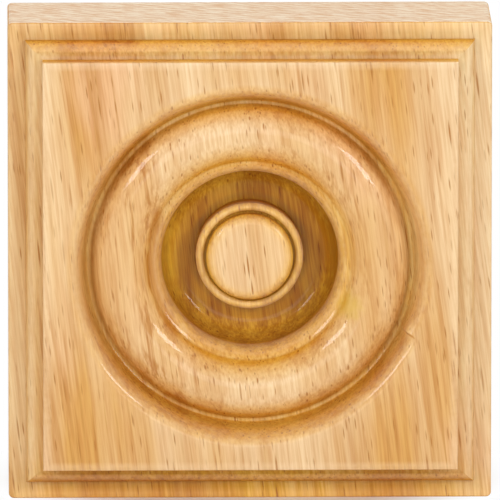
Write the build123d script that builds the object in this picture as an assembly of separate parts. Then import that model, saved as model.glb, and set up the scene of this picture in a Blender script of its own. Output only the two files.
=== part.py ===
from build123d import *
import math
import os

# Rosette block for the corner of a door or window casing, milled from one piece of hardwood.
# Millimetres. The face looks along -Y, the grain runs along Z, and the origin is the centre of
# the flat back. Depths are measured back from the raised field, radii from the turning axis (Y).

# Blank
BLOCK_SIDE = 88.9
BLOCK_DEPTH = 28.575
CORNER_ROUND = 0.9        # the four edges that run from front to back
BACK_EASE = 0.4           # the edges round the back
SIDE_ARRIS = 0.6          # front edges that run with the grain
END_ARRIS = 0.35          # front edges that run across the grain

# Border, from the outside in: a flat band, a quarter round and a fillet up to the field
BAND_WIDTH = 3.175
OVOLO_RADIUS = 3.175
FILLET_HEIGHT = 3.175
FIELD_ARRIS = 0.2

# Turned bullseye, from the field's edge inwards
FIELD_MARGIN = 5.9        # field's edge to where the wall would meet the field, unrounded
WALL_RUN = 2.1            # how far the wall leans out
WALL_DEPTH = 5.9          # depth of the valley, where both feet of the torus stand
RIM_ROUND = 2.5
VALLEY_WIDTH = 0.7        # flat between the wall and the torus
TORUS_RISE = 2.9          # crest above its feet

# The same, from the button in the middle outwards. The torus fills the width that is left.
BUTTON_RADIUS = 8.0
BUTTON_RISE = 2.9         # top above the groove round it
BUTTON_EDGE = 2.1         # radius of the button's rounded edge
BUTTON_TURN = 60          # degrees that the edge turns over before it drops
GROOVE_WIDTH = 0.35
GROOVE_DROP = 0.4         # groove's floor below the bead's foot
BEAD_WIDTH = 1.55         # bead that rings the button
BEAD_RISE = 0.4
BEAD_WALL = 4.0           # bead's foot above the trench's floor
TRENCH_FLOOR = 2.4        # flat of the floor
COVE_RADIUS = 4.0         # hollow from the floor up to the trench's outer wall
TRENCH_WALL = 2.1         # straight stretch above that cove
LIP_WIDTH = 2.3           # round lip between the trench and the torus
LIP_RADIUS = 3.6

CUTTER_CLEARANCE = 2.0    # how far the turned profile reaches out of the wood

HALF = BLOCK_SIDE / 2
FIELD_HALF = HALF - BAND_WIDTH - OVOLO_RADIUS


def moulding_run(arris):
    """Block with the border along two of its sides, as the moulding profile run along Z."""
    band = OVOLO_RADIUS + FILLET_HEIGHT - BLOCK_DEPTH
    with BuildSketch(Plane.XY) as section:
        with BuildLine():
            edge = FilletPolyline(
                (0, 0),
                (HALF, 0),
                (HALF, band),
                (FIELD_HALF + OVOLO_RADIUS, band),
                radius=(BACK_EASE, arris),
            )
            ovolo = JernArc(edge @ 1, (0, -1), OVOLO_RADIUS, -90)
            FilletPolyline(
                ovolo @ 1,
                (FIELD_HALF, -BLOCK_DEPTH),
                (0, -BLOCK_DEPTH),
                (0, 0),
                radius=(FIELD_ARRIS, 0),
            )
        make_face()
        mirror(about=Plane.YZ)
    return extrude(section.sketch, amount=HALF, both=True)


def bullseye_waste():
    """Wood that the turning takes away: half a section, radius on X, turned about Y."""

    def at(radius, depth):
        return Vector(radius, depth - BLOCK_DEPTH)

    wall_top = FIELD_HALF - FIELD_MARGIN
    wall_foot = wall_top - WALL_RUN
    wall_slope = math.atan2(WALL_DEPTH, WALL_RUN)
    rim = wall_top + RIM_ROUND * math.tan(wall_slope / 2)
    torus_foot = wall_foot - VALLEY_WIDTH

    bead_inside = BUTTON_RADIUS + GROOVE_WIDTH
    bead_outside = bead_inside + BEAD_WIDTH
    trench_outside = bead_outside + TRENCH_FLOOR + COVE_RADIUS
    quirk = trench_outside + LIP_WIDTH

    # The lip starts upright at the trench and turns over until it reaches the quirk
    lip_turn = math.acos(1 - LIP_WIDTH / LIP_RADIUS)
    lip_depth = WALL_DEPTH + LIP_RADIUS * math.sin(lip_turn)
    trench_depth = lip_depth + TRENCH_WALL + COVE_RADIUS
    bead_foot = trench_depth - BEAD_WALL
    groove_depth = bead_foot + GROOVE_DROP
    button_depth = groove_depth - BUTTON_RISE
    button_top = BUTTON_RADIUS - BUTTON_EDGE * math.sin(math.radians(BUTTON_TURN))

    with BuildSketch(Plane.XY) as section:
        with BuildLine():
            rounding = JernArc(at(rim, 0), (-1, 0), RIM_ROUND, -math.degrees(wall_slope))
            Polyline(rounding @ 1, at(wall_foot, WALL_DEPTH), at(torus_foot, WALL_DEPTH))
            ThreePointArc(
                at(torus_foot, WALL_DEPTH),
                at((torus_foot + quirk) / 2, WALL_DEPTH - TORUS_RISE),
                at(quirk, WALL_DEPTH),
            )
            JernArc(at(trench_outside, lip_depth), (0, -1), LIP_RADIUS, math.degrees(lip_turn))
            wall = Line(
                at(trench_outside, lip_depth),
                at(trench_outside, lip_depth + TRENCH_WALL),
            )
            cove = JernArc(wall @ 1, (0, 1), COVE_RADIUS, 90)
            Polyline(cove @ 1, at(bead_outside, trench_depth), at(bead_outside, bead_foot))
            ThreePointArc(
                at(bead_outside, bead_foot),
                at((bead_outside + bead_inside) / 2, bead_foot - BEAD_RISE),
                at(bead_inside, bead_foot),
            )
            edge = JernArc(at(button_top, button_depth), (1, 0), BUTTON_EDGE, BUTTON_TURN)
            Polyline(
                at(bead_inside, bead_foot),
                at(bead_inside, groove_depth),
                at(BUTTON_RADIUS, groove_depth),
                edge @ 1,
            )
            Polyline(
                edge @ 0,
                at(0, button_depth),
                at(0, -CUTTER_CLEARANCE),
                at(rim, -CUTTER_CLEARANCE),
                at(rim, 0),
            )
        make_face()
    return revolve(section.sketch, axis=Axis.Y)


# The border meets itself in mitres where the two runs cross
with_grain = moulding_run(SIDE_ARRIS)
across_grain = Rot(Y=90) * moulding_run(END_ARRIS)
outline = extrude(Plane.XZ * RectangleRounded(BLOCK_SIDE, BLOCK_SIDE, CORNER_ROUND), BLOCK_DEPTH)

rosette_block = (with_grain & across_grain & outline) - bullseye_waste()
rosette_block.label = "rosette_block"

os.makedirs("parts", exist_ok=True)
export_step(rosette_block, "parts/rosette_block.step")
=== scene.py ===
# Rosette block for a door or window casing, dressed for looks.
# Metres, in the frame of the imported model: the origin is the centre of the flat back, +Z runs up
# the grain and the turned face looks along -Y. Depths are measured back from the raised field.
import sys
import logging
import math
from dataclasses import dataclass, field
from enum import Enum
from typing import NamedTuple

import bpy
import numpy as np
from bpy.types import (
    ID, Material, Mesh, Node, NodeSocket as Socket, NodeTree, Object,
    bpy_prop_collection as Sockets,
)
from mathutils import Euler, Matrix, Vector


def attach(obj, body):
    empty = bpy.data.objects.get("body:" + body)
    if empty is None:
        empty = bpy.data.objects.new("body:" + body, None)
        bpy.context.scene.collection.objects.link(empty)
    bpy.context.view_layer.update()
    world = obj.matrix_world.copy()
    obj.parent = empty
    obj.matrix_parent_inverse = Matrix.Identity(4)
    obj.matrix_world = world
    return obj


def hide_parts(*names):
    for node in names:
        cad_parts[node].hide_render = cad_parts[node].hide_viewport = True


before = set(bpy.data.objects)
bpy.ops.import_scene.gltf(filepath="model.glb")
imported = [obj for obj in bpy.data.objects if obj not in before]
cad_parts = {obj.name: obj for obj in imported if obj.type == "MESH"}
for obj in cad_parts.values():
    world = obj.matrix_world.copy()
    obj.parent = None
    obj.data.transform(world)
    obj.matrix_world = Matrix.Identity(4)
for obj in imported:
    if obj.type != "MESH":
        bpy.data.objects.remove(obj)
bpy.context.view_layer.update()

log = logging.getLogger("rosette")

Array = np.ndarray
Rgb = tuple[float, float, float]
Xyz = tuple[float, float, float]

MM = 0.001
ACROSS_GRAIN: Xyz = (1.0, 1.0, 0.0)
OVER_FACE: Xyz = (1.0, 0.0, 1.0)
EVERY_WAY: Xyz = (1.0, 1.0, 1.0)
WHITE: Rgb = (1.0, 1.0, 1.0)
BACKDROP_RAYS = ("Is Camera Ray", "Is Glossy Ray", "Is Transmission Ray")


class Surface(Enum):
    """How a part of the block was left by the maker, in the order of its material slots."""

    FACE = 0
    END = 1
    BACK = 2


class Kind(Enum):
    """What a group's socket carries."""

    COLOUR = "NodeSocketColor"
    NUMBER = "NodeSocketFloat"


class Span(NamedTuple):
    """Values from low to high, and what they turn into along a smooth S, held flat outside."""

    low: float
    high: float
    start: float = 0.0
    end: float = 1.0


class Noise(NamedTuple):
    """Soft noise: its cells to a metre on each axis, its finer layers and their strength."""

    cells: Xyz
    detail: float = 2.0
    roughness: float = 0.5


class Wiring:
    """Adds nodes to one node tree and joins them up."""

    def __init__(self, tree: NodeTree) -> None:
        """Keep the tree that the nodes go into: a material's, the world's or a group's."""
        self.tree = tree

    def node(self, kind: str, inputs: dict | None = None, **settings: object) -> Node:
        """Add one node and fill its inputs.

        Args:
            kind: The node's class name.
            inputs: Socket name or number to a value, or to the socket that feeds it.
            **settings: The node's own properties.

        Returns:
            The new node.
        """
        made = self.tree.nodes.new(kind)
        for name, value in settings.items():
            setattr(made, name, value)
        for key, value in (inputs or {}).items():
            self.feed(made.inputs[key], value)
        return made

    def feed(self, socket: Socket, value: object) -> None:
        """Join a socket to what feeds it, or set its plain value.

        Args:
            socket: The input socket.
            value: Another node's output, or a number, vector or colour.
        """
        if isinstance(value, Socket):
            self.tree.links.new(value, socket)
        elif socket.type == "RGBA" and len(value) == 3:
            socket.default_value = (*value, 1.0)
        else:
            socket.default_value = value

    def fill(self, node: Node, **values: object) -> None:
        """Feed several inputs of a node, each named with _ for a space."""
        for label, value in values.items():
            self.feed(node.inputs[label.replace("_", " ")], value)

    def math(self, operation: str, *values: object, clamp: bool = False) -> Socket:
        """Work out one number from others, held between 0 and 1 where clamp is set."""
        inputs = dict(enumerate(values))
        return self.node("ShaderNodeMath", inputs, operation=operation, use_clamp=clamp).outputs[0]

    def remap(self, value: object, span: Span) -> Socket:
        """Turn a value from a span's low..high into its start..end.

        Args:
            value: The socket to turn.
            span: The values and their results.

        Returns:
            The result's socket.
        """
        inputs = {"Value": value, "From Min": span.low, "From Max": span.high,
                  "To Min": span.start, "To Max": span.end}
        return self.node("ShaderNodeMapRange", inputs, interpolation_type="SMOOTHSTEP").outputs[0]

    def mix(self, blend: str, factor: object, first: object, second: object) -> Socket:
        """Blend two colours.

        Args:
            blend: The Mix node's blend type.
            factor: How much of the blend shows.
            first: The colour underneath.
            second: The colour laid over it.

        Returns:
            The blended colour's socket.
        """
        inputs = {0: factor, 6: first, 7: second}
        made = self.node("ShaderNodeMix", inputs, data_type="RGBA", blend_type=blend,
                         clamp_factor=True)
        return made.outputs[2]

    def stretch(self, vector: object, scale: Xyz) -> Socket:
        """Multiply a vector's X, Y and Z each by its own scale."""
        inputs = {0: vector, 1: scale}
        return self.node("ShaderNodeVectorMath", inputs, operation="MULTIPLY").outputs[0]

    def noise(self, vector: object, kind: Noise) -> Socket:
        """Read noise of one kind at a vector: its value lies about 0.5."""
        inputs = {"Vector": self.stretch(vector, kind.cells), "Scale": 1.0,
                  "Detail": kind.detail, "Roughness": kind.roughness}
        return self.node("ShaderNodeTexNoise", inputs).outputs[0]

    def cells(self, vector: object, cells: Xyz) -> Socket:
        """Read the distance in cells to the nearest of scattered points, one to a cell."""
        inputs = {"Vector": self.stretch(vector, cells), "Scale": 1.0}
        return self.node("ShaderNodeTexVoronoi", inputs, feature="F1").outputs["Distance"]

    def away(self, vector: object, place: Xyz, axes: Xyz = EVERY_WAY) -> Socket:
        """Measure the distance from a place, or from a line along the axis that axes leaves out."""
        inputs = {0: self.stretch(vector, axes), 1: place}
        return self.node("ShaderNodeVectorMath", inputs, operation="DISTANCE").outputs["Value"]

    def own(self, kind: str = "Object") -> Socket:
        """Read the place on the object itself or, for Normal, its direction there."""
        return self.node("ShaderNodeTexCoord").outputs[kind]

    def split(self, vector: object) -> Sockets:
        """Take a vector apart into the sockets of its X, Y and Z."""
        return self.node("ShaderNodeSeparateXYZ", {0: vector}).outputs

    def join(self, *values: object) -> Socket:
        """Put a vector together from X, Y and Z."""
        return self.node("ShaderNodeCombineXYZ", dict(enumerate(values))).outputs[0]

    def carried(self, name: str) -> Socket:
        """Read an attribute that the mesh carries, by its name."""
        return self.node("ShaderNodeAttribute", attribute_name=name).outputs["Fac"]

    def bump(self, height: object, distance: float, strength: float) -> Socket:
        """Turn a height into a normal: its relief is the distance in metres at a height of 1."""
        inputs = {"Height": height, "Distance": distance, "Strength": strength}
        return self.node("ShaderNodeBump", inputs).outputs[0]


class Coating(Wiring):
    """Wiring of a new material, with its principled shader at hand."""

    def __init__(self, name: str) -> None:
        """Make the material.

        Args:
            name: What it is called.
        """
        self.made = bpy.data.materials.new(name)
        self.made.use_nodes = True
        super().__init__(self.made.node_tree)
        self.shader = self.tree.nodes["Principled BSDF"]


class Group:
    """A shader node group with named inputs and outputs."""

    def __init__(self, name: str, inputs: dict[str, Kind], outputs: dict[str, Kind]) -> None:
        """Start a group and make its sockets.

        Args:
            name: What the group is called.
            inputs: Each input's name and kind.
            outputs: Each output's name and kind.
        """
        self.tree = bpy.data.node_groups.new(name, "ShaderNodeTree")
        for way, sockets in (("INPUT", inputs), ("OUTPUT", outputs)):
            for label, kind in sockets.items():
                self.tree.interface.new_socket(label, in_out=way, socket_type=kind.value)
        self.wires = Wiring(self.tree)
        self.given = self.wires.node("NodeGroupInput").outputs
        self.out = self.wires.node("NodeGroupOutput")

    def place(self, wires: Wiring, **values: object) -> Sockets:
        """Put the group into a material.

        Args:
            wires: The material's wiring.
            **values: What each of the group's inputs is given there.

        Returns:
            The placed group's outputs.
        """
        placed = wires.node("ShaderNodeGroup", node_tree=self.tree)
        wires.fill(placed, **values)
        return placed.outputs


@dataclass(frozen=True)
class TimberFigure:
    """Figure of the hardwood through the whole block, read from its own solid coordinates.

    Colours come first, then places and leans in metres, then the noise of each layer, and last
    the span of each mask. A band is a place across the block with its amount of tan.
    """

    cream: Rgb = (0.83, 0.61, 0.35)
    tan: Rgb = (0.670, 0.365, 0.096)
    sap: Rgb = (0.87, 0.68, 0.42)
    brown: Rgb = (0.52, 0.235, 0.045)
    blush: Rgb = (0.84, 0.53, 0.31)
    pore: Rgb = (0.40, 0.155, 0.022)
    knot_gold: Rgb = (0.68, 0.45, 0.085)

    bands: tuple[tuple[float, float], ...] = (
        (-0.0445, 0.36), (-0.0370, 0.30), (-0.0310, 1.25), (-0.0220, 0.18),
        (0.0170, 0.18), (0.0225, 0.95), (0.0420, 0.06),
    )
    band_lean: float = 0.03
    lean: float = 0.12
    waver: float = 0.0020
    dark_core: Xyz = (-0.0190, -0.0225, 0.0)
    pin_knot: Xyz = (0.0182, 0.0, -0.0082)
    knot_rag: float = 0.0032
    streaks_on_tan: float = 0.78
    streaks_on_cream: float = 0.30
    fibre_height: float = 0.35
    narrow_share: float = 0.6
    fibre_share: float = 0.4

    sway: Noise = Noise((38.0, 38.0, 17.0), 1.0)
    swell: Noise = Noise((105.0, 105.0, 7.0), 2.0, 0.55)
    broad: Noise = Noise((290.0, 290.0, 9.0), 2.0, 0.55)
    narrow: Noise = Noise((880.0, 880.0, 28.0), 3.0, 0.65)
    fibres: Noise = Noise((2400.0, 2400.0, 85.0), 2.0, 0.6)
    clouds: Noise = Noise((60.0, 60.0, 24.0))
    knot_noise: Noise = Noise((520.0, 520.0, 520.0), 3.0)
    long_pores: Xyz = (760.0, 760.0, 58.0)
    short_pores: Xyz = (1350.0, 1350.0, 150.0)

    mid_height: Span = Span(0.008, 0.030, 0.55, 1.0)
    downwards: Span = Span(0.03, -0.045, 0.02, 0.16)
    below_field: Span = Span(-0.0275, -0.0250, 1.0, 0.52)
    swell_tone: Span = Span(0.30, 0.70, -0.40, 0.40)
    core_fade: Span = Span(0.0025, 0.006, 0.75, 0.0)
    blush_clouds: Span = Span(0.52, 0.72, 0.0, 0.6)
    sap_fade: Span = Span(0.0405, 0.0445, 0.0, 0.8)
    broad_dark: Span = Span(0.46, 0.70, 0.0, 0.52)
    narrow_dark: Span = Span(0.50, 0.66, 0.0, 0.66)
    fibre_tint: Span = Span(0.30, 0.72, 0.0, 0.40)
    crowding: Span = Span(0.36, 0.54, 0.45, 1.0)
    long_mask: Span = Span(0.06, 0.20, 0.95, 0.0)
    short_mask: Span = Span(0.07, 0.25, 0.80, 0.0)
    knot_fade: Span = Span(0.0022, 0.0052, 0.80, 0.0)
    knot_depth: Span = Span(-0.018, -0.010, 1.0, 0.0)

    def growth_bands_and_shade(self, w: Wiring, x: object, z: object) -> Socket:
        """Amount of tan in the broad bands: fainter at mid-height, and a little more downwards,
        which is painted shade towards the bottom.

        Args:
            w: The group's wiring.
            x: Place across the grain.
            z: Place along it.

        Returns:
            The amount, 0 for cream and 1 for tan.
        """
        across = w.math("MULTIPLY_ADD", z, self.band_lean, x)
        low, high = self.bands[0][0], self.bands[-1][0]
        inputs = {"Value": across, "From Min": low, "From Max": high}
        share = w.node("ShaderNodeMapRange", inputs).outputs["Result"]
        ramp = w.node("ShaderNodeValToRGB", {"Fac": share})
        stops = ramp.color_ramp.elements
        for place, _ in self.bands[1:-1]:
            stops.new((place - low) / (high - low))
        for stop, (_, tone) in zip(stops, self.bands):
            stop.color = (tone, tone, tone, 1.0)
        fainter = w.remap(w.math("ABSOLUTE", z), self.mid_height)
        amount = w.math("MULTIPLY", ramp.outputs["Color"], fainter)
        # Painted shade: the wood grows a little darker towards the bottom.
        return w.math("ADD", amount, w.remap(z, self.downwards))

    def build(self) -> Group:
        """Make the group of bands, streaks, fibres and open pores.

        Each layer is noise in long cells along the grain, which leans over by about an eighth
        and wavers. Pores surround scattered points of the same stretched space, so they are
        short lines on a face and dots on an end.

        Returns:
            The group, with outputs Color, Height, Pores and Fibre.
        """
        group = Group(
            "timber figure",
            dict.fromkeys(("Streaks", "Pores"), Kind.NUMBER),
            {"Color": Kind.COLOUR} | dict.fromkeys(("Height", "Pores", "Fibre"), Kind.NUMBER),
        )
        w = group.wires
        solid = w.own()
        x, y, z = w.split(solid)
        sway = w.math("MULTIPLY_ADD", w.noise(solid, self.sway), self.waver, -0.5 * self.waver)
        leaning = w.math("MULTIPLY_ADD", z, self.lean, w.math("ADD", x, sway))
        grain = w.join(leaning, y, z)
        broad, narrow = w.noise(grain, self.broad), w.noise(grain, self.narrow)
        fibres = w.noise(grain, self.fibres)

        tone = w.math("MULTIPLY", self.growth_bands_and_shade(w, x, z), w.remap(y, self.below_field))
        tone = w.math("ADD", tone, w.remap(w.noise(grain, self.swell), self.swell_tone))
        core = w.remap(w.away(grain, self.dark_core, ACROSS_GRAIN), self.core_fade)
        tone = w.math("ADD", tone, core, clamp=True)
        colour = w.mix("MIX", tone, self.cream, self.tan)
        blush = w.remap(w.noise(grain, self.clouds), self.blush_clouds)
        colour = w.mix("MIX", blush, colour, self.blush)
        colour = w.mix("MIX", w.remap(leaning, self.sap_fade), colour, self.sap)

        strong = w.math("MULTIPLY_ADD", tone, self.streaks_on_tan, self.streaks_on_cream)
        strong = w.math("MULTIPLY", w.math("ADD", strong, core), group.given["Streaks"])
        for streaks, span in ((broad, self.broad_dark), (narrow, self.narrow_dark)):
            dark = w.math("MULTIPLY", w.remap(streaks, span), strong)
            colour = w.mix("MIX", dark, colour, self.brown)
        colour = w.mix("MULTIPLY", w.remap(fibres, self.fibre_tint), colour, self.tan)

        long_lines = w.remap(w.cells(grain, self.long_pores), self.long_mask)
        short_lines = w.remap(w.cells(grain, self.short_pores), self.short_mask)
        pores = w.math("MAXIMUM", long_lines, short_lines)
        pores = w.math("MULTIPLY", pores, w.remap(broad, self.crowding))
        pores = w.math("MULTIPLY", pores, group.given["Pores"], clamp=True)
        colour = w.mix("MIX", pores, colour, self.pore)

        knot = w.away(solid, self.pin_knot, OVER_FACE)
        knot = w.math("MULTIPLY_ADD", w.noise(solid, self.knot_noise), self.knot_rag, knot)
        knot = w.math("MULTIPLY", w.remap(knot, self.knot_fade), w.remap(y, self.knot_depth))
        colour = w.mix("MIX", knot, colour, self.knot_gold)

        sunk = w.math("MULTIPLY", pores, -1.0)
        height = w.math("MULTIPLY_ADD", fibres, self.fibre_height, sunk)
        coarse = w.math("MULTIPLY", narrow, self.narrow_share)
        fibre = w.math("ADD", coarse, w.math("MULTIPLY", fibres, self.fibre_share))
        w.fill(group.out, Color=colour, Height=height, Pores=pores, Fibre=fibre)
        return group


@dataclass(frozen=True)
class EndGrainSoakAndShade:
    """Deeper golden colour where a cut crosses the fibres, so that they drink the finish, and
    painted shade on steep slopes.
    """

    crossing: Span = Span(0.20, 0.95)
    steep_shade: Span = Span(0.95, 0.15)
    open_ends: Xyz = (1500.0, 1500.0, 420.0)
    dots: Span = Span(0.10, 0.34, 0.45, 0.0)

    def build(self) -> Group:
        """Make the group that stains a colour where the surface cuts the grain and paints shade on
        steep slopes.

        The crossing is the upright part of the normal, and the steep shade what its outward part
        lacks of 1, each through a smooth S.

        Returns:
            The group, with outputs Color and Crossing.
        """
        group = Group(
            "end grain soak",
            {"Color": Kind.COLOUR, "Stain": Kind.COLOUR, "Across": Kind.NUMBER,
             "Steep": Kind.NUMBER},
            {"Color": Kind.COLOUR, "Crossing": Kind.NUMBER},
        )
        w = group.wires
        _, facing, upright = w.split(w.own("Normal"))
        crossing = w.remap(w.math("ABSOLUTE", upright), self.crossing)
        # Painted shade: steep slopes darken by how far they turn away from the front.
        steep_shade = w.remap(w.math("ABSOLUTE", facing), self.steep_shade)
        dots = w.math("MULTIPLY", w.remap(w.cells(w.own(), self.open_ends), self.dots), crossing)
        across = w.math("MULTIPLY", crossing, group.given["Across"])
        mask = w.math("MULTIPLY_ADD", steep_shade, group.given["Steep"], across, clamp=True)
        colour = w.mix("MULTIPLY", mask, group.given["Color"], group.given["Stain"])
        colour = w.mix("MULTIPLY", dots, colour, group.given["Stain"])
        w.fill(group.out, Color=colour, Crossing=crossing)
        return group


@dataclass(frozen=True)
class EdgeWearAndShade:
    """Darker hollows and lighter crests: finish that gathers and wears thin, with painted shade in
    the hollows and a painted highlight on the crests.
    """

    broken: Noise = Noise((900.0, 900.0, 900.0), 3.0)
    breaks: Span = Span(0.30, 0.70, 0.6, 1.0)

    def build(self) -> Group:
        """Make the group that darkens hollows with painted shade and gathering finish, and lightens
        crests with a painted highlight and wear.

        Both are read from the attributes that the block's mesh carries, and broken up by noise.

        Returns:
            The group, with the output Color.
        """
        group = Group(
            "handled edges",
            {"Color": Kind.COLOUR, "Gathered": Kind.COLOUR, "Rubbed": Kind.COLOUR,
             "Hollow": Kind.NUMBER, "Crest": Kind.NUMBER},
            {"Color": Kind.COLOUR},
        )
        w = group.wires
        broken = w.remap(w.noise(w.own(), self.broken), self.breaks)
        colour = group.given["Color"]
        # Hollows get painted shade along with the finish that gathers there; crests get a painted
        # highlight along with wear.
        for mark, amount, laid in (("hollow", "Hollow", "Gathered"), ("crest", "Crest", "Rubbed")):
            mask = w.math("MULTIPLY", w.carried(mark), broken)
            mask = w.math("MULTIPLY", mask, group.given[amount])
            colour = w.mix("MIX", mask, colour, group.given[laid])
        w.fill(group.out, Color=colour)
        return group


@dataclass(frozen=True)
class Joinery:
    """The node groups that the block's finishes share."""

    figure: Group
    soak_shade: Group
    edges: Group


@dataclass(frozen=True)
class SatinLacquer:
    """Clear satin finish over the moulded face and the two long sides, with painted shade in its
    hollows.

    Where the finish pools, streaks, soak and film each lose the share named pooled_.
    """

    stain: Rgb = (0.87, 0.66, 0.20)
    # The next two colours darken where the finish lies thick, in the hollows: partly the finish's
    # colour, partly painted shade.
    pooled_shade: Rgb = (0.96, 0.75, 0.12)
    deep_shade: Rgb = (0.56, 0.40, 0.08)
    # The next two paint shade in the hollows, with gathering finish, and a highlight on the crests,
    # with wear.
    gathered_shade: Rgb = (0.23, 0.130, 0.026)
    rubbed_highlight: Rgb = (0.90, 0.68, 0.42)
    soaked: float = 1.25
    deep_from: float = 0.8
    pooled_streaks: float = -0.75
    pooled_soak: float = -0.95
    pooled_film: float = -0.45
    pore_roughness: float = 0.2
    end_roughness: float = 0.35
    pore_depth: float = 0.00009
    patches: Noise = Noise((240.0, 240.0, 45.0))
    uneven: Noise = Noise((260.0, 260.0, 260.0), 3.0)
    pools: Span = Span(0.6, 1.3)
    patch_swing: Span = Span(0.3, 0.7, 0.78, 1.1)
    fibre_swing: Span = Span(0.36, 0.64, 0.86, 1.12)
    sheen: Span = Span(0.3, 0.7, 0.37, 0.49)
    film: Span = Span(0.0, 1.0, 0.34, 0.05)

    def material(self, joinery: Joinery) -> Material:
        """Make the finished wood.

        The figure is stained on end grain, with painted shade on steep slopes, then by how thick
        the finish lies, which the mesh carries as the attribute finish and which darkens the
        hollows with painted shade too; painted shade in the hollows and a painted highlight on the
        crests come last.

        Args:
            joinery: The shared groups.

        Returns:
            The material.
        """
        w = Coating("lacquered_hardwood")
        finish = w.carried("finish")
        pooling = w.remap(finish, self.pools)
        streaks = w.math("MULTIPLY_ADD", pooling, self.pooled_streaks, 1.0)
        figure = joinery.figure.place(w, Streaks=streaks, Pores=1.0)
        across = w.math("MULTIPLY_ADD", pooling, self.pooled_soak, self.soaked)
        # Painted shade on steep slopes, laid with the end-grain stain.
        soak_shade = joinery.soak_shade.place(
            w, Color=figure["Color"], Stain=self.stain, Across=across, Steep=0.25,
        )
        solid = w.own()
        patchy = w.remap(w.noise(solid, self.patches), self.patch_swing)
        patchy = w.math("MULTIPLY", patchy, w.remap(figure["Fibre"], self.fibre_swing))
        # Painted shade: where the finish lies thick, in the hollows, the colour darkens for shade
        # as well as for the finish.
        thick = w.math("MULTIPLY", finish, patchy)
        colour = w.mix("MULTIPLY", thick, soak_shade["Color"], self.pooled_shade)
        thicker = w.math("SUBTRACT", thick, self.deep_from, clamp=True)
        colour = w.mix("MULTIPLY", thicker, colour, self.deep_shade)
        # Painted shade in the hollows and a painted highlight on the crests.
        edges = joinery.edges.place(
            w, Color=colour, Gathered=self.gathered_shade, Rubbed=self.rubbed_highlight, Hollow=0.32, Crest=0.28,
        )
        sheen = w.remap(w.noise(solid, self.uneven), self.sheen)
        sheen = w.math("MULTIPLY_ADD", figure["Pores"], self.pore_roughness, sheen)
        sheen = w.math("MULTIPLY_ADD", soak_shade["Crossing"], self.end_roughness, sheen)
        thin = w.math("MULTIPLY_ADD", pooling, self.pooled_film, 1.0)
        film = w.math("MULTIPLY", w.remap(soak_shade["Crossing"], self.film), thin)
        w.fill(
            w.shader, Base_Color=edges["Color"], Roughness=sheen, Specular_IOR_Level=0.14,
            Coat_Weight=film, Coat_Roughness=0.06,
            Normal=w.bump(figure["Height"], self.pore_depth, 0.5),
        )
        return w.made


@dataclass(frozen=True)
class SawnEnd:
    """Bare end grain, cut square by a fine saw: pale, dry, with growth arcs and saw lines."""

    pale: Rgb = (0.98, 0.87, 0.70)
    growth: Rgb = (0.78, 0.53, 0.34)
    dryness: float = 0.72
    pith: Xyz = (0.020, 0.075, 0.0)
    rings_per_metre: float = 480.0
    ring_waver: float = 0.012
    saw_slant: float = 0.5
    tooth_depth: float = 0.00012
    ripple: Noise = Noise((45.0, 45.0, 45.0))
    saw: Noise = Noise((260.0, 820.0, 900.0), 4.0, 0.7)
    arcs: Span = Span(-0.2, 1.0, 0.0, 0.50)
    saw_lines: Span = Span(0.40, 0.62, 0.0, 0.68)
    sheen: Span = Span(0.3, 0.7, 0.72, 0.85)

    def material(self, joinery: Joinery) -> Material:
        """Make the sawn end.

        Growth arcs are a sine of the distance from the pith, which lies behind the back. Saw
        lines are noise with its longest cells along X, slanted. Both lie over the shared figure.

        Args:
            joinery: The shared groups.

        Returns:
            The material.
        """
        w = Coating("sawn_end_grain")
        figure = joinery.figure.place(w, Streaks=0.25, Pores=0.45)
        solid = w.own()
        away = w.away(solid, self.pith, ACROSS_GRAIN)
        away = w.math("MULTIPLY_ADD", w.noise(solid, self.ripple), self.ring_waver, away)
        arcs = w.math("SINE", w.math("MULTIPLY", away, self.rings_per_metre * math.tau))
        colour = w.mix("MIX", self.dryness, figure["Color"], self.pale)
        colour = w.mix("MIX", w.remap(arcs, self.arcs), colour, self.growth)
        x, y, z = w.split(solid)
        slanted = w.join(x, w.math("MULTIPLY_ADD", x, self.saw_slant, y), z)
        saw = w.noise(slanted, self.saw)
        colour = w.mix("MULTIPLY", w.remap(saw, self.saw_lines), colour, self.growth)
        # Painted shade in the hollows and a painted highlight on the crests, over the bare end
        # grain.
        edges = joinery.edges.place(
            w, Color=colour, Gathered=self.growth, Rubbed=self.pale, Hollow=0.3, Crest=0.6,
        )
        height = w.math("MULTIPLY_ADD", figure["Height"], 0.5, saw)
        w.fill(
            w.shader, Base_Color=edges["Color"], Roughness=w.remap(saw, self.sheen),
            Specular_IOR_Level=0.25, Normal=w.bump(height, self.tooth_depth, 0.6),
        )
        return w.made


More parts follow.
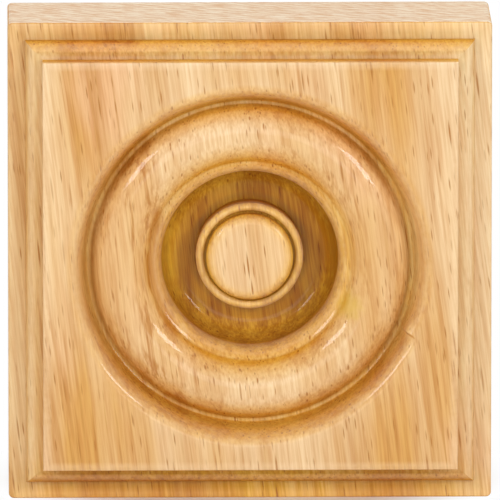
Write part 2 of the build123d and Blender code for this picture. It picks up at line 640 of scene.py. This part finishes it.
@dataclass(frozen=True)
class PlanedBack:
    """Bare planed back, which goes against the wall, with the faint ripple of the cutters."""

    dry: Rgb = (0.80, 0.55, 0.33)
    dryness: float = 0.45
    cuts_per_metre: float = 420.0
    cut_height: float = 0.12
    cut_depth: float = 0.00008
    dust: Noise = Noise((120.0, 120.0, 120.0), 4.0)
    dusty: Span = Span(0.45, 0.75, 0.0, 0.12)
    sheen: Span = Span(0.3, 0.7, 0.66, 0.8)

    def material(self, joinery: Joinery) -> Material:
        """Make the planed back.

        The ripple is a sine of the height, one wave to each cut of the knives.

        Args:
            joinery: The shared groups.

        Returns:
            The material.
        """
        w = Coating("planed_back")
        figure = joinery.figure.place(w, Streaks=0.8, Pores=0.9)
        solid = w.own()
        _, _, z = w.split(solid)
        cut = w.math("SINE", w.math("MULTIPLY", z, self.cuts_per_metre * math.tau))
        colour = w.mix("MIX", self.dryness, figure["Color"], self.dry)
        dust = w.noise(solid, self.dust)
        colour = w.mix("SCREEN", w.remap(dust, self.dusty), colour, self.dry)
        # Painted shade in the hollows and a painted highlight on the crests, over the planed back.
        edges = joinery.edges.place(
            w, Color=colour, Gathered=self.dry, Rubbed=self.dry, Hollow=0.2, Crest=0.4,
        )
        height = w.math("MULTIPLY_ADD", cut, self.cut_height, figure["Height"])
        w.fill(
            w.shader, Base_Color=edges["Color"], Roughness=w.remap(dust, self.sheen),
            Specular_IOR_Level=0.3, Normal=w.bump(height, self.cut_depth, 0.5),
        )
        return w.made


def line(start: Array, end: Array, steps: int) -> Array:
    """Rows of reach and depth in equal steps from start to end, without the start."""
    share = np.linspace(0.0, 1.0, steps + 1)[1:, None]
    return (1.0 - share) * np.asarray(start) + share * np.asarray(end)


def arc(centre: Array, radius: float, start: float, end: float, steps: int) -> Array:
    """Rows of reach and depth round a centre: 0 degrees is outwards and 90 into the wood."""
    turn = np.radians(np.linspace(start, end, steps + 1))
    return np.asarray(centre) + radius * np.stack([np.cos(turn), np.sin(turn)], axis=1)


def bow(spread: float, rise: float) -> tuple[float, float]:
    """Radius and half opening in radians of an arc, from half its width and its rise."""
    radius = (spread**2 + rise**2) / (2.0 * rise)
    return radius, math.asin(spread / radius)


def crown(near: float, far: float, depth: float, rise: float, steps: int) -> Array:
    """Convex arc between two feet at one depth.

    Args:
        near: Reach of the foot nearer the axis.
        far: Reach of the other foot.
        depth: Depth of both feet.
        rise: Height of the crest above them.
        steps: Number of steps.

    Returns:
        Rows of reach and depth.
    """
    radius, opening = bow((far - near) / 2.0, rise)
    centre = ((near + far) / 2.0, depth - rise + radius)
    opening = math.degrees(opening)
    return arc(centre, radius, -90.0 - opening, -90.0 + opening, steps)


def squircle(angles: Array, half: Array, corner: Array) -> Array:
    """Reach of a square with round corners along rays from its middle.

    It is half the side over the larger of the ray's cosine and sine, and in a corner the ray's
    far crossing with the corner's circle.

    Args:
        angles: The rays' angles from +X.
        half: Half the side.
        corner: The corners' radius.

    Returns:
        The reach along each ray.
    """
    across, up = np.abs(np.cos(angles)), np.abs(np.sin(angles))
    straight = half / np.maximum(across, up)
    inner = half - corner
    along = inner * (across + up)
    rounded = along + np.sqrt(np.maximum(along**2 - 2.0 * inner**2 + corner**2, 0.0))
    return np.where(np.minimum(across, up) * straight > inner, rounded, straight)


def middles(grid: Array) -> Array:
    """Mean of each quad's corners, in a grid of rings by rays that closes on itself."""
    following = np.roll(grid, -1, axis=1)
    return 0.25 * (grid[:-1] + grid[1:] + following[:-1] + following[1:])


def show(name: str, data: ID) -> Object:
    """Put a new object into the scene.

    Args:
        name: What it is called.
        data: Its mesh, lamp or camera.

    Returns:
        The object.
    """
    made = bpy.data.objects.new(name, data)
    bpy.context.scene.collection.objects.link(made)
    return made


@dataclass
class Skin:
    """Rings of the block's surface, from the button outwards and round to the back."""

    rays: Array
    reach: list[Array] = field(default_factory=list)
    depth: list[Array] = field(default_factory=list)
    surfaces: list[Surface] = field(default_factory=list)

    def add(self, reach: Array, depth: Array, first: Surface, last: Surface | None = None) -> None:
        """Add rings, with one reach and depth each or one for each ray.

        Args:
            reach: Reach from the axis.
            depth: Depth below the field.
            first: What the first half of the rings belongs to.
            last: What the rest belongs to, if it differs.
        """
        reach, depth, _ = np.broadcast_arrays(reach, depth, self.rays[None, :])
        self.reach.append(reach)
        self.depth.append(depth)
        half = len(reach) // 2
        self.surfaces += [first] * half + [last or first] * (len(reach) - half)


@dataclass
class TurnedRosette:
    """The whole block: a stepped border round a raised field with a turned bullseye.

    Lengths are in millimetres, as the solid's maker gives them, and go into metres in the mesh.
    The tear's places are degrees below +X, and the mitre lies between two sines of the ray.
    """

    half: float = 44.45
    thickness: float = 28.575
    corner_round: float = 0.9
    back_ease: float = 0.4
    side_arris: float = 0.6
    end_arris: float = 0.35
    step: float = 3.175
    field_arris: float = 0.2
    field_margin: float = 5.9
    wall_run: float = 2.1
    wall_depth: float = 5.9
    rim_round: float = 2.5
    valley_width: float = 0.7
    torus_rise: float = 2.9
    button_radius: float = 8.0
    button_rise: float = 2.9
    button_edge: float = 2.1
    button_turn: float = 60.0
    groove_width: float = 0.35
    groove_drop: float = 0.4
    bead_width: float = 1.55
    bead_rise: float = 0.4
    bead_wall: float = 4.0
    trench_floor: float = 2.4
    cove_radius: float = 4.0
    trench_wall: float = 2.1
    lip_width: float = 2.3
    lip_radius: float = 3.6

    columns_a_side: int = 96
    ray_gap: float = 0.002
    field_insets: Xyz = (1.5, 0.7, 0.0)
    band_inset: float = 1.0
    back_shares: tuple[float, ...] = (0.8, 0.6, 0.4, 0.2)
    sharp_angle: float = 32.0
    relief_span: float = 1.3
    full_hollow: float = 0.9
    full_crest: float = 0.7
    side_share: float = 0.35
    lopsided: float = 0.10
    mitre: tuple[float, float] = (0.66, 0.78)
    tear: Xyz = (15.0, 23.5, 33.0)
    tear_inwards: float = 0.8
    tear_outwards: float = 0.4
    tear_fade: tuple[float, ...] = (-2.1, -0.4, 1.8, 4.0)
    thin_coat: float = 0.12
    bottom_coat_and_shade: float = 0.28
    right_loss: float = 0.04
    set_in: float = 2.5
    clearance: float = 1.0
    finishes: dict[Surface, Material] = field(default_factory=dict)

    @property
    def field_half(self) -> float:
        """Half the raised field's side."""
        return self.half - 2.0 * self.step

    @property
    def wall_top(self) -> float:
        """Reach at which the bullseye's wall would meet the field, unrounded."""
        return self.field_half - self.field_margin

    @property
    def wall_foot(self) -> float:
        """Reach of the wall's foot."""
        return self.wall_top - self.wall_run

    @property
    def bead_inside(self) -> float:
        """Reach of the bead's inner foot."""
        return self.button_radius + self.groove_width

    @property
    def bead_outside(self) -> float:
        """Reach of the bead's outer foot."""
        return self.bead_inside + self.bead_width

    @property
    def quirk(self) -> float:
        """Reach of the quirk, where the torus meets the lip."""
        return self.bead_outside + self.trench_floor + self.cove_radius + self.lip_width

    def turning(self) -> Array:
        """Profile of the bullseye, from the middle of the button out to the rim.

        Returns:
            Rows of reach and depth.
        """
        slope = math.atan2(self.wall_depth, self.wall_run)
        rim = self.wall_top + self.rim_round * math.tan(slope / 2.0)
        torus_foot = self.wall_foot - self.valley_width
        inside, outside = self.bead_inside, self.bead_outside
        floor_outside = outside + self.trench_floor
        wall = floor_outside + self.cove_radius

        lip_turn = math.acos(1.0 - self.lip_width / self.lip_radius)
        lip = self.wall_depth + self.lip_radius * math.sin(lip_turn)
        cove = lip + self.trench_wall
        floor = cove + self.cove_radius
        bead_foot = floor - self.bead_wall
        groove = bead_foot + self.groove_drop
        button = groove - self.button_rise
        turn = math.radians(self.button_turn)
        button_top = self.button_radius - self.button_edge * math.sin(turn)

        edge = arc((button_top, button + self.button_edge), self.button_edge, -90.0,
                   self.button_turn - 90.0, steps=9)
        rounding = arc((rim, self.rim_round), self.rim_round, -90.0 - math.degrees(slope), -90.0,
                       steps=14)
        valley = self.valley(slope)
        return np.concatenate([
            line((0.0, button), (button_top, button), steps=6)[:-1],
            edge,
            line(edge[-1], (self.button_radius, groove), steps=2),
            line((self.button_radius, groove), (inside, groove), steps=2),
            crown(inside, outside, bead_foot, self.bead_rise, steps=10),
            line((outside, bead_foot), (outside, floor), steps=4),
            line((outside, floor), (floor_outside, floor), steps=3)[:-1],
            arc((floor_outside, cove), self.cove_radius, 90.0, 0.0, steps=16),
            line((wall, cove), (wall, lip), steps=2),
            arc((wall + self.lip_radius, lip), self.lip_radius, 180.0,
                180.0 + math.degrees(lip_turn), steps=14)[1:-1],
            crown(self.quirk, torus_foot, self.wall_depth, self.torus_rise, steps=34)[:-1],
            valley,
            line(valley[-1], rounding[0], steps=3)[:-1],
            rounding,
        ])

    def valley(self, slope: float) -> Array:
        """Small hollow that the cutter leaves between the torus and the wall.

        The arc touches both slopes and the flat between them, so its radius is the flat's width
        over the sum of the half slopes' tangents.

        Args:
            slope: The wall's slope in radians.

        Returns:
            Rows of reach and depth.
        """
        torus_foot = self.wall_foot - self.valley_width
        _, fall = bow((torus_foot - self.quirk) / 2.0, self.torus_rise)
        hollow = (self.wall_foot - torus_foot) / (math.tan(fall / 2.0) + math.tan(slope / 2.0))
        centre = (torus_foot + hollow * math.tan(fall / 2.0), self.wall_depth - hollow)
        return arc(centre, hollow, 90.0 + math.degrees(fall), 90.0 - math.degrees(slope), steps=10)

    def rays(self) -> Array:
        """Angles of the mesh's columns, from +X round through +Z.

        A quarter has equal steps, and at each end six that share out the round corner evenly.

        Returns:
            The angles in radians, in rising order.
        """
        even = np.linspace(-math.pi / 4.0, math.pi / 4.0, self.columns_a_side + 1)
        inner = self.half - self.corner_round
        turn = np.radians(np.linspace(0.0, 45.0, 6))
        corner = np.arctan2(
            inner + self.corner_round * np.sin(turn),
            inner + self.corner_round * np.cos(turn),
        )
        kept = even[np.abs(even) < corner[0] - self.ray_gap]
        quarter = np.concatenate([-corner[::-1], kept, corner[:-1]])
        quarters = np.arange(4)[:, None] * (math.pi / 2.0)
        return (quarters + quarter[None, :]).ravel()

    def rings(self, rays: Array) -> Skin:
        """Reach and depth of every ring along every ray, from the button to the back.

        The bullseye's circles turn into squares across the field, in even shares. The ends'
        bare wood starts halfway round the front arris.

        Args:
            rays: The columns' angles.

        Returns:
            The rings and what each of them belongs to.
        """
        skin = Skin(rays)
        turned = self.turning()
        skin.add(turned[:, :1], turned[:, 1:], Surface.FACE)

        insets = np.array(self.field_insets)[:, None]
        field_edge = squircle(rays, self.field_half - self.field_arris - insets, 0.0)
        share = np.linspace(0.0, 1.0, 8)[1:-1, None]
        across = (1.0 - share) * turned[-1, 0] + share * field_edge[0]
        skin.add(np.concatenate([across, field_edge]), 0.0, Surface.FACE)

        arris = arc((self.field_half - self.field_arris, self.field_arris), self.field_arris,
                    -90.0, 0.0, steps=3)[1:]
        band = 2.0 * self.step
        ovolo = arc((self.field_half, band), self.step, -90.0, 0.0, steps=12)
        border = np.concatenate([
            arris,
            line(arris[-1], (self.field_half, self.step), steps=2)[:-1],
            ovolo,
            line(ovolo[-1], (self.half - self.band_inset, band), steps=2),
        ])
        skin.add(squircle(rays, border[:, :1], 0.0), border[:, 1:], Surface.FACE)

        softness = self.front_softness(rays)
        turn = np.radians(np.linspace(0.0, 90.0, 6))[:, None]
        inset = softness * (1.0 - np.sin(turn))
        outline = squircle(rays, self.half - inset, self.corner_round - inset)
        skin.add(outline, band + softness * (1.0 - np.cos(turn)), Surface.FACE, Surface.END)

        levels = np.linspace(band + 2.0 * self.side_arris, self.thickness - self.back_ease, 8)
        skin.add(squircle(rays, self.half, self.corner_round), levels[:, None], Surface.END)

        turn = np.radians(np.linspace(0.0, 90.0, 5))[1:, None]
        inset = self.back_ease * (1.0 - np.cos(turn))
        outline = squircle(rays, self.half - inset, self.corner_round - inset)
        eased = self.thickness - self.back_ease * (1.0 - np.sin(turn))
        skin.add(outline, eased, Surface.END, Surface.BACK)
        share = np.array(self.back_shares)[:, None]
        skin.add(share * outline[-1], self.thickness, Surface.BACK)
        return skin

    def front_softness(self, rays: Array) -> Array:
        """Radius of the front arris, which changes evenly over the block's round corner.

        Args:
            rays: The columns' angles.

        Returns:
            The radius for each column.
        """
        inner = self.half - self.corner_round
        outer = squircle(rays, self.half, self.corner_round)
        across = np.abs(outer * np.cos(rays)) - inner
        up = np.abs(outer * np.sin(rays)) - inner
        share = np.arctan2(np.maximum(up, 0.0), np.maximum(across, 1e-9)) / (math.pi / 2.0)
        return (1.0 - share) * self.side_arris + share * self.end_arris

    def mesh(self) -> Mesh:
        """Build the closed skin: rings by rays, with a fan at each pole.

        Returns:
            The mesh, with its finishes and the attributes hollow, crest and finish.
        """
        rays = self.rays()
        skin = self.rings(rays)
        reach, depth = np.concatenate(skin.reach), np.concatenate(skin.depth)
        reach = reach + self.torn_rim(reach, rays)
        x, z = reach * np.cos(rays), reach * np.sin(rays)
        points = np.stack([x, depth - self.thickness, z], axis=2).reshape(-1, 3)
        poles = np.array([[0.0, depth[0, 0] - self.thickness, 0.0], [0.0, 0.0, 0.0]])
        points = np.concatenate([points, poles]) * MM

        here = np.arange(reach.size).reshape(reach.shape)
        there = np.roll(here, -1, axis=1)
        quads = np.stack([here[:-1], here[1:], there[1:], there[:-1]], axis=2).reshape(-1, 4)
        pole = np.full(len(rays), reach.size)
        front = np.stack([pole, here[0], there[0]], axis=1)
        back = np.stack([there[-1], here[-1], pole + 1], axis=1)

        made = bpy.data.meshes.new("turned_rosette")
        made.from_pydata(points.tolist(), [], quads.tolist() + front.tolist() + back.tolist())
        made.polygons.foreach_set("use_smooth", np.ones(len(made.polygons), dtype=bool))
        made.set_sharp_from_angle(angle=math.radians(self.sharp_angle))

        for surface in Surface:
            made.materials.append(self.finishes[surface])
        number = np.array([surface.value for surface in skin.surfaces[:-1]])[:, None]
        long_side = (number == Surface.END.value) & (np.abs(middles(z)) <= np.abs(middles(x)))
        number = np.concatenate([
            np.where(long_side, Surface.FACE.value, number).ravel(),
            np.full(len(rays), Surface.FACE.value),
            np.full(len(rays), Surface.BACK.value),
        ])
        made.polygons.foreach_set("material_index", number.astype(np.int32))
        self.mark(made, reach, depth, rays)
        made.update()
        made.validate()
        return made

    def finish_and_shade_on_turning(self, reach: Array) -> Array:
        """How dark the finish makes the turned part, 1 for a full coat: partly how thick the finish
        lies, partly painted shade in the hollows.

        Straight shares run between its values at the turning's features: bare on the button,
        the crest and the field, and thick in the groove, the trench and the valley.

        Args:
            reach: Reach from the axis.

        Returns:
            The thickness at each reach.
        """
        edge, bead, quirk, foot = self.button_radius, self.bead_inside, self.quirk, self.wall_foot
        crest = 0.5 * (quirk + foot)
        # Painted shade: the groove, the trench and the valley get the most, along with the finish.
        table = np.array([
            (0.0, 0.0), (edge - 2.0, 0.06), (edge - 0.9, 0.80), (edge, 1.35), (bead, 1.30),
            (bead + 0.5 * self.bead_width, 0.92), (bead + self.bead_width, 1.75),
            (quirk - 5.5, 1.66), (quirk - 2.4, 1.55), (quirk - 1.0, 0.75), (quirk + 1.5, 0.38),
            (crest - 1.8, 0.08), (crest + 2.0, 0.03), (foot - 2.4, 0.24), (foot - 1.0, 0.34),
            (foot - 0.4, 0.75), (foot + 0.4, 0.42), (foot + 2.9, 0.46), (foot + 3.8, 0.03),
        ])
        return np.interp(reach, table[:, 0], table[:, 1], right=0.0)

    def finish_and_shade_on_border(self, rays: Array, depth: Array) -> Array:
        """How dark the finish makes the border, 1 for a full coat: partly how thick the finish
        lies, partly painted shade.

        It sets in under the field's edge, changes over the mitres, and is darkest below the field,
        where it also paints the field's shadow, next above it, and a little lighter on the right
        than on the left.

        Args:
            rays: The columns' angles.
            depth: Depth of each ring below the field.

        Returns:
            The thickness, one row to a ring.
        """
        up = np.sin(rays)
        near, far = self.mitre
        # Painted shadow below the field, laid with the finish: darkest on the bottom step.
        coat = self.thin_coat - self.bottom_coat_and_shade * np.minimum(up, 0.0) ** 3
        coat = coat - self.right_loss * np.cos(rays)
        coat = coat + np.interp(up, (-far, -near, near, far), (0.54, 0.0, 0.0, 0.32))
        coat = coat + np.interp(depth / self.step, (1.6, 2.0), (0.08, 0.0))
        return np.clip(self.set_in * depth / self.step, 0.0, 1.0) * np.clip(coat, 0.0, 1.0)

    def torn_rim(self, reach: Array, rays: Array) -> Array:
        """How far the small tear moves the rim, right of the middle and below it.

        Clockwise round the rim the edge creeps inwards, steps outwards at the tear and comes
        back. The shift fades to nothing inside the rim and on the field.

        Args:
            reach: Every ring's reach.
            rays: The columns' angles.

        Returns:
            The shift, one row to a ring.
        """
        below = -np.degrees(np.where(rays > math.pi, rays - 2.0 * math.pi, rays))
        start, step, end = self.tear
        edge = (0.0, -self.tear_inwards, self.tear_outwards, 0.0)
        shift = np.interp(below, (start, step, step + 1.0, end), edge)
        places = self.wall_top + np.array(self.tear_fade)
        return np.interp(reach, places, (0.0, 1.0, 1.0, 0.0)) * shift

    def mark(self, made: Mesh, reach: Array, depth: Array, rays: Array) -> None:
        """Give the mesh its hollow, crest and finish attributes, which also carry painted shade and
        a painted highlight.

        Hollow and crest come from the relief in front of the sides: a ring's depth less the mean of
        those a span further in and out along +X. The border's hollows are weaker along the grain,
        on the two sides, so their painted shade falls mostly on the steps above and below the
        field.

        Args:
            made: The mesh.
            reach: Every ring's reach.
            depth: Every ring's depth.
            rays: The columns' angles.
        """
        toward_x = len(rays) // 8
        along, down = reach[:, toward_x], depth[:, toward_x]
        sides = (along >= self.field_half) & (down > 2.0 * self.step + self.clearance)
        front = int(np.argmax(sides))
        border = int(np.argmax(along > self.field_half - self.clearance))
        inner, outer = (np.interp(along[:front] + shift, along[:front], down[:front])
                        for shift in (-self.relief_span, self.relief_span))
        relief = np.zeros_like(reach)
        relief[:front] = (down[:front] - 0.5 * (inner + outer))[:, None]
        hollow = np.clip(relief / self.full_hollow, 0.0, 1.0)
        # Painted shade in the border's creases: weaker on the sides than on the top and bottom
        # steps.
        hollow[border:] *= np.interp(np.abs(np.sin(rays)), self.mitre, (self.side_share, 1.0))
        finish = np.zeros_like(reach)
        leftover = 1.0 + self.lopsided * np.cos(rays)
        finish[:border] = self.finish_and_shade_on_turning(along[:border])[:, None] * leftover
        finish[border:] = self.finish_and_shade_on_border(rays, depth[border:])
        crest = np.clip(-relief / self.full_crest, 0.0, 1.0)
        for name, grid in {"hollow": hollow, "crest": crest, "finish": finish}.items():
            spread = np.concatenate([grid.ravel(), [grid[0, 0], grid[-1, 0]]]).astype(np.float32)
            made.attributes.new(name, "FLOAT", "POINT").data.foreach_set("value", spread)

    def build(self) -> Object:
        """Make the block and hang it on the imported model.

        Returns:
            The block's object.
        """
        piece = show("turned_rosette", self.mesh())
        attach(piece, "root")
        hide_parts("rosette_block")
        return piece


@dataclass(frozen=True)
class SoftBox:
    """One soft lamp of the studio."""

    name: str
    place: Xyz
    width: float
    height: float
    watts: float

    def build(self, target: Vector) -> None:
        """Make the lamp.

        Args:
            target: Where it looks.
        """
        data = bpy.data.lights.new(self.name, "AREA")
        data.shape = "RECTANGLE"
        data.size, data.size_y = self.width, self.height
        data.energy = self.watts
        lamp = show(self.name, data)
        lamp.location = self.place
        lamp.rotation_euler = (target - Vector(self.place)).to_track_quat("-Z", "Y").to_euler()


@dataclass
class PhotoTable:
    """Floor, backdrop, lamps and camera of the product shot."""

    floor_level: float = -0.04445
    floor_half: float = 4.0
    floor_tone: Rgb = (0.90, 0.90, 0.90)
    fade: Span = Span(0.030, 0.050)
    ambient: float = 0.42
    target: Xyz = (0.0, -0.022225, 0.0)
    distance: float = 3.0
    elevation: float = 10.6
    azimuth: float = -1.0
    view_width: float = 0.09191
    sensor: float = 36.0
    shift_up: float = 0.021
    sees_to: float = 50.0
    lamps: tuple[SoftBox, ...] = (
        SoftBox("left_softbox", (-0.75, -0.80, 0.46), 0.24, 0.32, 3.8),
        SoftBox("right_softbox", (0.75, -0.80, 0.46), 0.24, 0.32, 4.1),
        SoftBox("front_softbox", (0.0, -1.40, 0.056), 0.90, 0.60, 5.4),
        SoftBox("top_softbox", (0.0, 0.25, 1.15), 0.80, 0.50, 4.7),
    )

    def backdrop_rays(self, w: Wiring) -> Socket:
        """Mask of the rays that see the plain backdrop and not the studio's light.

        Args:
            w: The wiring of a material or the world.

        Returns:
            1 for those rays and 0 for the rest.
        """
        path = w.node("ShaderNodeLightPath").outputs
        camera, glossy, passing = (path[ray] for ray in BACKDROP_RAYS)
        return w.math("MAXIMUM", w.math("MAXIMUM", camera, glossy), passing)

    def floor_finish(self) -> Material:
        """Make the pale floor, which turns into plain white away from the block.

        Returns:
            The material.
        """
        w = Coating("pale_table")
        w.fill(w.shader, Base_Color=self.floor_tone, Roughness=0.9, Specular_IOR_Level=0.1)
        white = w.node("ShaderNodeEmission", {"Color": WHITE, "Strength": 1.0})
        fade = w.remap(w.away(w.own(), (0.0, 0.0, 0.0)), self.fade)
        factor = w.math("MULTIPLY", fade, self.backdrop_rays(w))
        inputs = {0: factor, 1: w.shader.outputs[0], 2: white.outputs[0]}
        mixed = w.node("ShaderNodeMixShader", inputs)
        w.fill(w.tree.nodes["Material Output"], Surface=mixed.outputs[0])
        return w.made

    def build_floor(self) -> None:
        """Make the floor as one square of four corners under the block."""
        side = self.floor_half
        corners = [(-side, -side, 0), (side, -side, 0), (side, side, 0), (-side, side, 0)]
        data = bpy.data.meshes.new("table")
        data.from_pydata(corners, [], [range(4)])
        data.materials.append(self.floor_finish())
        table = show("table", data)
        table.location = (0.0, 0.0, self.floor_level)

    def build_world(self) -> None:
        """Light the room evenly, and show plain white behind the block."""
        world = bpy.data.worlds.new("studio")
        world.use_nodes = True
        w = Wiring(world.node_tree)
        world.node_tree.nodes.clear()
        room = w.node("ShaderNodeBackground", {"Color": WHITE, "Strength": self.ambient})
        white = w.node("ShaderNodeBackground", {"Color": WHITE, "Strength": 1.0})
        inputs = {0: self.backdrop_rays(w), 1: room.outputs[0], 2: white.outputs[0]}
        mixed = w.node("ShaderNodeMixShader", inputs)
        w.node("ShaderNodeOutputWorld", {"Surface": mixed.outputs[0]})
        bpy.context.scene.world = world

    def build_camera(self) -> None:
        """Set the camera up: a long lens, a little above and to the left of square on."""
        tilt, swing = math.radians(self.elevation), math.radians(self.azimuth)
        away = Vector((
            math.sin(swing) * math.cos(tilt), -math.cos(swing) * math.cos(tilt), math.sin(tilt),
        ))
        data = bpy.data.cameras.new("camera")
        data.sensor_width = self.sensor
        data.lens = self.sensor * self.distance / self.view_width
        data.shift_y = self.shift_up
        data.clip_end = self.sees_to
        camera = show("camera", data)
        camera.location = Vector(self.target) + self.distance * away
        camera.rotation_euler = Euler((math.pi / 2.0 - tilt, 0.0, swing))
        bpy.context.scene.camera = camera

    def build(self) -> None:
        """Set up the floor, the world, the lamps and the camera."""
        self.build_floor()
        self.build_world()
        for lamp in self.lamps:
            lamp.build(Vector(self.target))
        self.build_camera()
        bpy.context.scene.view_settings.view_transform = "Standard"


def main() -> None:
    """Build the finishes, the block and the photo table, and report each."""
    logging.basicConfig(level=logging.INFO, format="%(name)s: %(message)s", stream=sys.stdout)
    joinery = Joinery(TimberFigure().build(), EndGrainSoakAndShade().build(), EdgeWearAndShade().build())
    finishes = {
        Surface.FACE: SatinLacquer().material(joinery),
        Surface.END: SawnEnd().material(joinery),
        Surface.BACK: PlanedBack().material(joinery),
    }
    block = TurnedRosette(finishes=finishes).build()
    log.info("%s has %d faces", block.name, len(block.data.polygons))
    PhotoTable().build()
    log.info("photo table is set")


if __name__ == "__main__":
    main()
